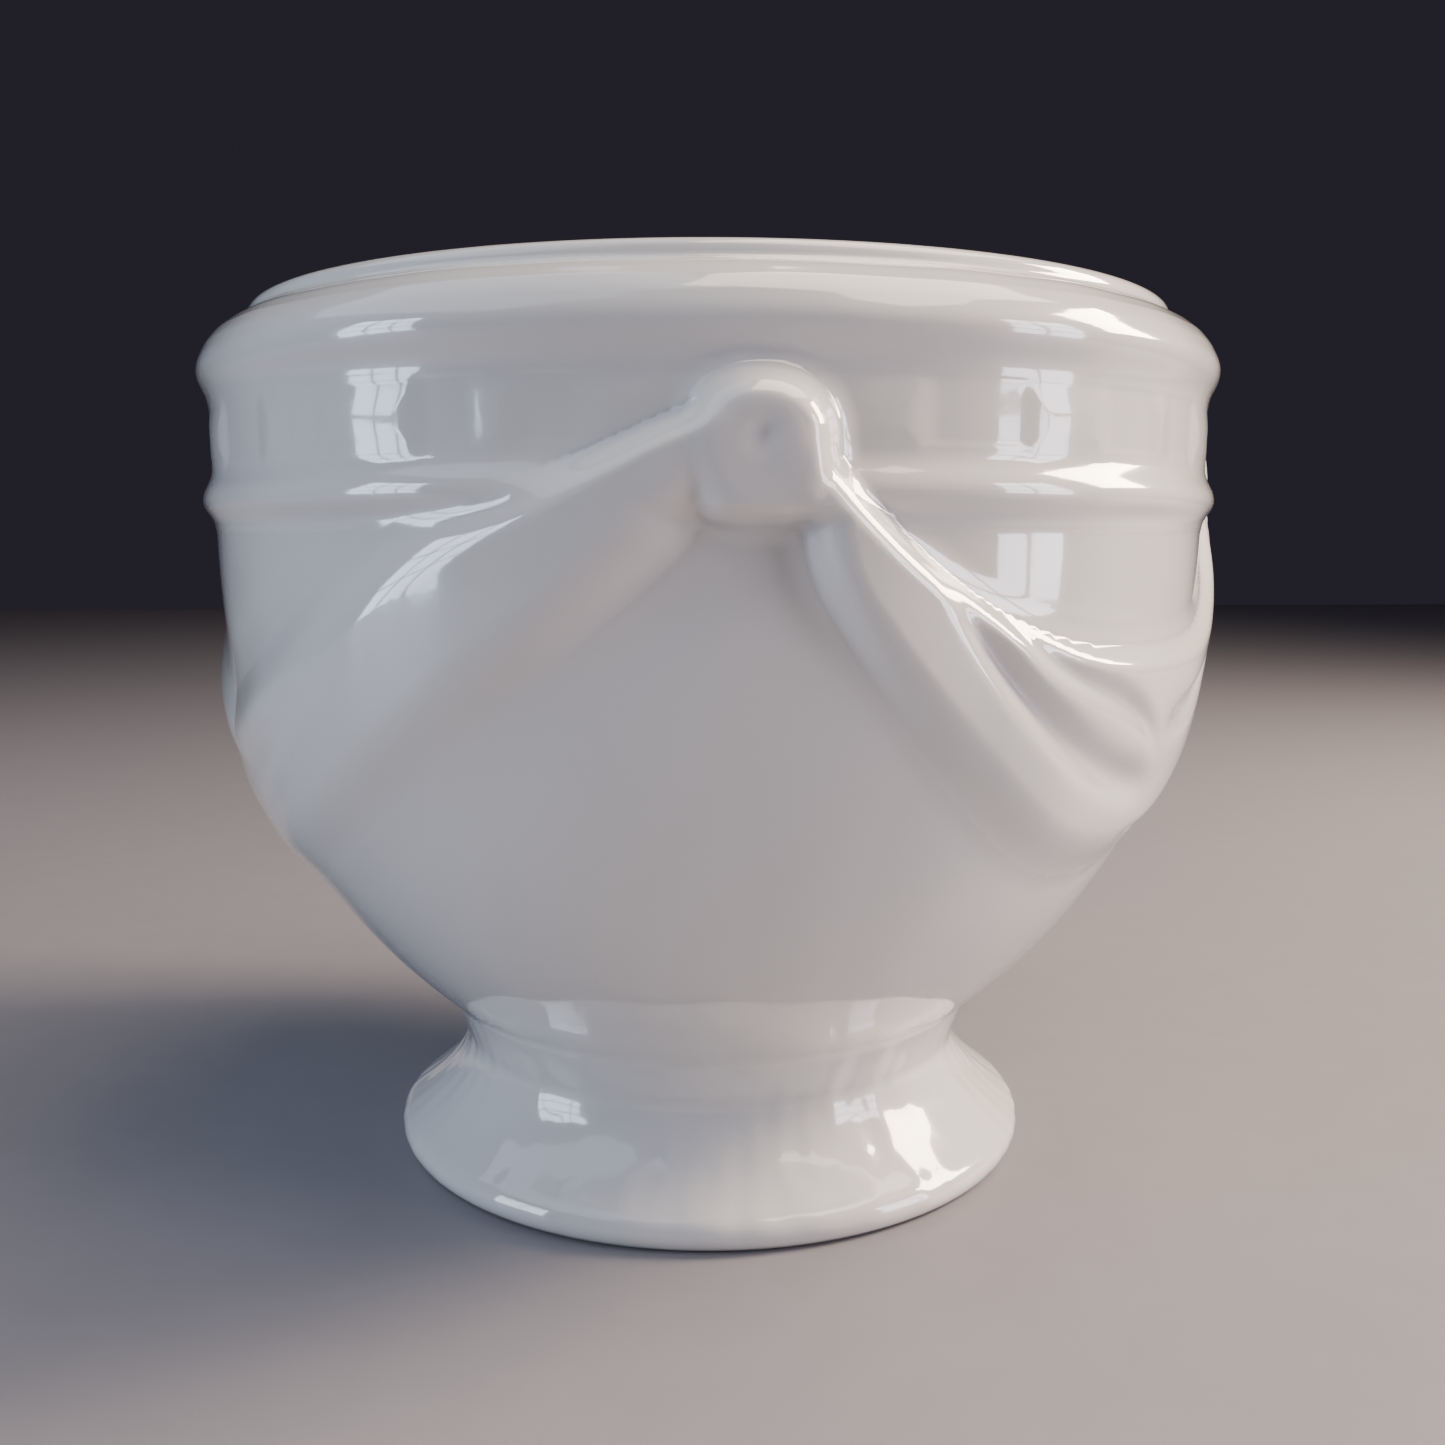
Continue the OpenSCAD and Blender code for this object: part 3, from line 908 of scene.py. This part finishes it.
class Shader:
    """Short names for building one node material."""

    def __init__(self, name):
        self.material = bpy.data.materials.new(name)
        self.material.use_nodes = True
        self.tree = self.material.node_tree
        self.surface = self.tree.nodes["Principled BSDF"]

    def node(self, kind, inputs=None, **settings):
        node = self.tree.nodes.new("ShaderNode" + kind)
        for key, value in settings.items():
            setattr(node, key, value)
        for key, value in (inputs or {}).items():
            self.feed(node.inputs[key], value)
        return node

    def feed(self, socket, value):
        """Links the socket to a node's output, or sets it to a plain value."""
        if isinstance(value, bpy.types.NodeSocket):
            self.tree.links.new(value, socket)
        else:
            socket.default_value = value

    def math(self, operation, a, b):
        return self.node("Math", {0: a, 1: b}, operation=operation).outputs[0]

    def ramp(self, value, low, high, to_low=0.0, to_high=1.0):
        return self.node("MapRange", {
            "Value": value, "From Min": low, "From Max": high, "To Min": to_low, "To Max": to_high
        }, interpolation_type="SMOOTHSTEP").outputs["Result"]

    def mix(self, share, a, b):
        """Colour a where share is 0, and b where it is 1."""
        node = self.node("Mix", {"Factor": share}, data_type="RGBA")
        for socket, colour in ((node.inputs[6], a), (node.inputs[7], b)):
            self.feed(socket, (*colour, 1) if isinstance(colour, tuple) else colour)
        return node.outputs[2]

    def set(self, **sockets):
        for key, value in sockets.items():
            self.feed(self.surface.inputs[key.replace("_", " ")], value)


PINHOLE_SHARE = 0.028  # of the cells that could hold one
# colour of the hollows: greyer gathered glaze, darkened further as painted shade
GLAZE_THICK_AND_SHADE = (0.650, 0.656, 0.678)
GLAZE_BODY = (0.830, 0.822, 0.808)
GLAZE_THIN = (0.860, 0.838, 0.805)
PINHOLE = (0.11, 0.095, 0.08)
BISQUE = (0.72, 0.655, 0.56)


def glaze_colour(shader, place_at):
    """Thicker, cool and darkened with painted shade in the hollows, thin and warm on the edges,
    faintly clouded elsewhere.
    """
    pool_and_shade = shader.node("Attribute", attribute_name="glaze_pool_and_shade").outputs["Fac"]
    cloud = shader.node("TexNoise", {"Vector": place_at, "Scale": 9.0, "Detail": 3.0})
    patch = shader.ramp(cloud.outputs["Fac"], 0.35, 0.68)
    ground = shader.mix(patch, GLAZE_BODY, tuple(0.975 * c for c in GLAZE_BODY))
    # darkening of the hollows: gathered glaze and painted shade
    thick_and_shade = shader.ramp(pool_and_shade, 0.05, 0.75)
    thin = shader.ramp(pool_and_shade, -0.08, -0.8)
    return shader.mix(thin, shader.mix(thick_and_shade, ground, GLAZE_THICK_AND_SHADE), GLAZE_THIN)


def pinholes(shader, place_at):
    """1 in a few scattered specks and 0 elsewhere."""
    cells = shader.node(
        "TexVoronoi", {"Vector": place_at, "Scale": 62.0, "Randomness": 1.0}, feature="F1"
    )
    chance = shader.node("SeparateColor", {"Color": cells.outputs["Color"]}).outputs["Red"]
    chosen = shader.math("GREATER_THAN", chance, 1 - PINHOLE_SHARE)
    near = shader.ramp(cells.outputs["Distance"], 0.030, 0.012)
    return shader.math("MULTIPLY", chosen, near)


def glaze_skin(shader, place_at, speck):
    """Height of the orange peel and of a finer dust, with the pinholes sunk into it."""
    skin = shader.node("TexNoise", {"Vector": place_at, "Scale": 210.0, "Detail": 2.0})
    dust = shader.node("TexNoise", {"Vector": place_at, "Scale": 900.0, "Detail": 1.0})
    height = shader.math(
        "ADD", skin.outputs["Fac"], shader.math("MULTIPLY", dust.outputs["Fac"], 0.18)
    )
    return shader.math("SUBTRACT", height, shader.math("MULTIPLY", speck, 1.5))


def bare_clay(shader, place_at, smear):
    """1 on the ring that the bowl stands on, where the glaze was wiped off."""
    up = shader.node("SeparateXYZ", {"Vector": place_at}).outputs["Z"]
    wander = shader.math("MULTIPLY", smear, 0.0009)
    return shader.ramp(shader.math("SUBTRACT", up, wander), 0.00025, 0.00005)


def glazed(name, roughness, peel, has_bare_clay=False):
    """White gloss glaze and, on the foot's edge, the bare clay ring that it stands on."""
    shader = Shader(name)
    place_at = shader.node("TexCoord").outputs["Object"]
    speck = pinholes(shader, place_at)
    colour = shader.mix(speck, glaze_colour(shader, place_at), PINHOLE)
    smear = shader.node("TexNoise", {"Vector": place_at, "Scale": 26.0, "Detail": 4.0})
    gloss = shader.ramp(smear.outputs["Fac"], 0.3, 0.75, roughness * 0.8, roughness * 1.35)
    gloss = shader.math("ADD", gloss, shader.math("MULTIPLY", speck, 0.3))
    coat = 1.0
    if has_bare_clay:
        bare = bare_clay(shader, place_at, smear.outputs["Fac"])
        colour = shader.mix(bare, colour, BISQUE)
        gloss = shader.math("ADD", gloss, shader.math("MULTIPLY", bare, 0.7))
        coat = shader.math("SUBTRACT", 1.0, bare)
    height = glaze_skin(shader, place_at, speck)
    bump = shader.node("Bump", {"Height": height, "Strength": peel, "Distance": 0.0002})
    shader.set(
        Base_Color=colour, Roughness=gloss, Normal=bump.outputs["Normal"],
        IOR=1.5, Coat_Weight=coat, Coat_Roughness=0.035, Coat_IOR=1.5,
    )
    return shader.material


def plain_stage(name, colour, roughness):
    """A matt, faintly mottled surface for the floor."""
    shader = Shader(name)
    place_at = shader.node("TexCoord").outputs["Object"]
    grain = shader.node("TexNoise", {"Vector": place_at, "Scale": 60.0, "Detail": 4.0})
    share = shader.ramp(grain.outputs["Fac"], 0.3, 0.7)
    shader.set(
        Base_Color=shader.mix(share, colour, tuple(0.97 * c for c in colour)),
        Roughness=roughness,
    )
    return shader.material


# ---------------------------------------------------------------- the bowl

SLOTS = {
    "bowl_shell": "glaze_body", "rim_collar": "glaze_body",
    "neck_collar": "glaze_foot", "pedestal_foot": "glaze_foot", "foot_edge": "glaze_edge",
    "lower_bead": "glaze_trim", "upper_bead": "glaze_trim", "frieze_panels": "glaze_trim",
    "knot_front": "glaze_relief", "knot_right": "glaze_relief", "knot_left": "glaze_relief",
    "swag_right": "glaze_relief", "swag_left": "glaze_relief", "swag_back": "glaze_relief",
}
materials = {
    "glaze_body": glazed("glaze_body", 0.10, 0.16),
    "glaze_foot": glazed("glaze_foot", 0.12, 0.26),
    "glaze_edge": glazed("glaze_edge", 0.12, 0.26, has_bare_clay=True),
    "glaze_trim": glazed("glaze_trim", 0.10, 0.16),
    "glaze_relief": glazed("glaze_relief", 0.10, 0.16),
}

for node, piece in {**build_bowl(), **build_foot(), **build_rim()}.items():
    shown = piece.build(SLOTS[node], node)
    shown.data.materials.append(materials[SLOTS[node]])


# ---------------------------------------------------------------- camera, lights and floor

VIEW_TURN = -4.5  # the camera stands this far round from the front knot, in degrees
CAMERA_MM = (3.4, -390.7, 162.0)
CAMERA_TILT_DOWN = 7.37
LENS_MM = 35.45


def seen_from_camera(x, y, z):
    """A point given in the camera's own heading, turned into the bowl's frame, in metres."""
    turn = math.radians(VIEW_TURN)
    return (
        x * math.cos(turn) - y * math.sin(turn), x * math.sin(turn) + y * math.cos(turn), z
    )


camera = bpy.data.objects.new("camera", bpy.data.cameras.new("camera"))
camera.location = seen_from_camera(*(MM * c for c in CAMERA_MM))
camera.rotation_euler = (
    math.radians(90 - CAMERA_TILT_DOWN), 0, math.radians(VIEW_TURN)
)
camera.data.lens = LENS_MM
camera.data.sensor_width = 36
camera.data.clip_start = 0.01
bpy.context.scene.collection.objects.link(camera)
bpy.context.scene.camera = camera


BOWL_MIDDLE_Z = 0.13  # where a light is aimed unless it says otherwise


def soft_light(name, bearing, height, distance, size, watts, colour, aim_z=BOWL_MIDDLE_Z):
    """A rectangular softbox aimed at the bowl's axis, bearing degrees round from the camera
    towards the right of its view."""
    turn = math.radians(bearing)
    spot = seen_from_camera(distance * math.sin(turn), -distance * math.cos(turn), height)
    light = bpy.data.lights.new(name, "AREA")
    light.shape = "RECTANGLE"
    light.size, light.size_y = size
    light.energy = watts
    light.color = colour
    holder = bpy.data.objects.new(name, light)
    holder.location = spot
    away = np.array(spot) - np.array((0, 0, aim_z))
    flat = math.hypot(away[0], away[1])
    holder.rotation_euler = (math.atan2(flat, away[2]), 0, math.atan2(away[0], -away[1]))
    bpy.context.scene.collection.objects.link(holder)


def window_light(name, bearing, distance, panes, pane, gap, base, watts, colour):
    """A softbox divided by glazing bars: panes is (across, up), pane its size in metres."""
    across, up = panes
    width = across * pane[0] + (across - 1) * gap
    for i in range(across):
        for j in range(up):
            offset = (i + 0.5) * pane[0] + i * gap - width / 2
            height = base + (j + 0.5) * pane[1] + j * gap
            turn = math.degrees(math.atan2(offset, distance))
            soft_light(
                f"{name}_{i}_{j}", bearing + turn, height, math.hypot(distance, offset), pane,
                watts / (across * up), colour, aim_z=height
            )


COOL = (0.68, 0.80, 1.0)
LILAC = (0.90, 0.85, 1.0)
WARM = (1.0, 0.79, 0.60)
CREAM = (1.0, 0.82, 0.66)

window_light("left_window", -68, 1.5, (3, 3), (0.150, 0.27), 0.022, 0.0, 12.4, COOL)
window_light("right_window", 70, 1.5, (2, 3), (0.20, 0.27), 0.030, 0.0, 12.4, LILAC)
soft_light("warm_side", 98, 0.80, 1.2, (0.40, 0.55), 42, WARM)
soft_light("overhead", 75, 1.30, 0.45, (0.9, 0.9), 14, CREAM)
soft_light("ceiling", -75, 1.50, 0.70, (1.4, 1.4), 7, COOL)

FLOOR_HALF = 3.0
FLOOR_COLOUR = (0.27, 0.262, 0.285)
floor_mesh = bpy.data.meshes.new("floor")
floor_mesh.from_pydata(
    [(FLOOR_HALF * x, FLOOR_HALF * y, 0) for x, y in ((-1, -1), (1, -1), (1, 1), (-1, 1))],
    [], [(0, 1, 2, 3)],
)
floor = bpy.data.objects.new("floor", floor_mesh)
floor.data.materials.append(plain_stage("floor", FLOOR_COLOUR, 0.5))
bpy.context.scene.collection.objects.link(floor)

DIM_LILAC = (0.61, 0.52, 0.78, 1)
DIM_STRENGTH = 0.035
world = bpy.data.worlds.new("studio")
bpy.context.scene.world = world
world.use_nodes = True
background = world.node_tree.nodes["Background"]
background.inputs["Color"].default_value = DIM_LILAC
background.inputs["Strength"].default_value = DIM_STRENGTH
